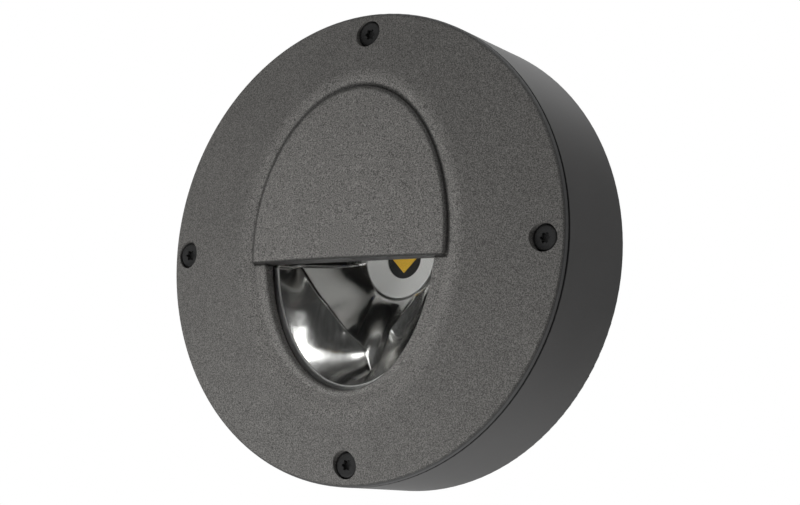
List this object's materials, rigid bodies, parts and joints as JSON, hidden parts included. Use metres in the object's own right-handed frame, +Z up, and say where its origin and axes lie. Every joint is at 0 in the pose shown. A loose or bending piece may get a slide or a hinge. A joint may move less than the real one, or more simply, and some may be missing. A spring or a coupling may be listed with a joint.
{
  "type": "wall light",
  "caption": "Round dark-grey outdoor wall light: domed cast cover with an eyelid hood over a D-shaped window, polished reflector and LED inside, light thrown downwards.",
  "frame": {"origin": "centre of the housing's flat back, on the wall", "axes": "+X to the right seen from the front, +Y into the wall, +Z up; the front faces -Y"},
  "size_m": [0.16, 0.0497, 0.16],
  "materials": {
    "housing_coat": "smooth matte dark grey powder coat on die-cast aluminium",
    "cover_coat": "fine-textured dark grey powder coat on die-cast aluminium",
    "black_screw": "black oxide, semi-gloss",
    "rubber": "matte",
    "foam": "matte closed-cell foam",
    "clear_glass": "clear",
    "zinc_steel": "bright zinc",
    "reflector_metal": "polished",
    "white_plastic": "matte white",
    "led_base": "dark",
    "phosphor": "yellow phosphor",
    "board_metal": "white solder mask on an aluminium core",
    "thermal_pad": "matte grey",
    "driver_plastic": "matte white",
    "green_board": "green solder mask",
    "terminal_plastic": "natural",
    "brass": "bright",
    "red_lead": "red sleeve",
    "black_lead": "black sleeve",
    "brown_lead": "brown sleeve",
    "blue_lead": "blue sleeve",
    "green_lead": "green and yellow sleeve"
  },
  "bodies": {
    "housing": {"housing": "housing_coat", "wall_gasket": "foam", "cable_grommet": "rubber", "blanking_plug": "rubber", "cover_seal": "rubber", "reflector": "reflector_metal", "reflector_screws": "zinc_steel", "led_holder": "white_plastic", "led_holder_screws": "zinc_steel", "led_base": "led_base", "led_phosphor": "phosphor", "led_circuit_board": "board_metal", "thermal_pad": "thermal_pad", "driver_case": "driver_plastic", "driver_lid": "driver_plastic", "driver_board": "green_board", "driver_screws": "zinc_steel", "terminal_block": "terminal_plastic", "terminal_clamp_screws": "brass", "terminal_fixing_screws": "zinc_steel", "earth_lug": "brass", "earth_screw": "brass", "led_lead_plus": "red_lead", "led_lead_minus": "black_lead", "live_lead": "brown_lead", "neutral_lead": "blue_lead", "earth_lead": "green_lead"},
    "cover": {"front_cover": "cover_coat", "glass_gasket": "rubber", "window_glass": "clear_glass", "glass_retainer": "zinc_steel", "glass_retainer_screws": "zinc_steel"},
    "seal_top": {"screw_seal_top": "rubber"},
    "screw_top": {"cover_screw_top": "black_screw"},
    "seal_right": {"screw_seal_right": "rubber"},
    "screw_right": {"cover_screw_right": "black_screw"},
    "seal_bottom": {"screw_seal_bottom": "rubber"},
    "screw_bottom": {"cover_screw_bottom": "black_screw"},
    "seal_left": {"screw_seal_left": "rubber"},
    "screw_left": {"cover_screw_left": "black_screw"}
  },
  "joints": [
    {"name": "cover_pull", "type": "slide", "parent": "housing", "child": "cover", "axis": [0, -1, 0], "range_m": [0, 0.06]},
    {"name": "screw_lift_top", "type": "slide", "parent": "cover", "child": "seal_top", "axis": [0, -1, 0], "range_m": [0, 0.0091]},
    {"name": "screw_turn_top", "type": "hinge", "parent": "seal_top", "child": "screw_top", "pos_m": [0, -0.0376, 0.0727], "axis": [0, -1, 0], "range_deg": [0, 4700]},
    {"name": "screw_lift_right", "type": "slide", "parent": "cover", "child": "seal_right", "axis": [0, -1, 0], "range_m": [0, 0.0091]},
    {"name": "screw_turn_right", "type": "hinge", "parent": "seal_right", "child": "screw_right", "pos_m": [0.0727, -0.0376, 0], "axis": [0, -1, 0], "range_deg": [0, 4700]},
    {"name": "screw_lift_bottom", "type": "slide", "parent": "cover", "child": "seal_bottom", "axis": [0, -1, 0], "range_m": [0, 0.0091]},
    {"name": "screw_turn_bottom", "type": "hinge", "parent": "seal_bottom", "child": "screw_bottom", "pos_m": [0, -0.0376, -0.0727], "axis": [0, -1, 0], "range_deg": [0, 4700]},
    {"name": "screw_lift_left", "type": "slide", "parent": "cover", "child": "seal_left", "axis": [0, -1, 0], "range_m": [0, 0.0091]},
    {"name": "screw_turn_left", "type": "hinge", "parent": "seal_left", "child": "screw_left", "pos_m": [-0.0727, -0.0376, 0], "axis": [0, -1, 0], "range_deg": [0, 4700]}
  ],
  "couplings": [
    {"joint": "screw_turn_top", "follows": "screw_lift_top", "rad_per_m": 8976},
    {"joint": "screw_turn_right", "follows": "screw_lift_right", "rad_per_m": 8976},
    {"joint": "screw_turn_bottom", "follows": "screw_lift_bottom", "rad_per_m": 8976},
    {"joint": "screw_turn_left", "follows": "screw_lift_left", "rad_per_m": 8976}
  ]
}
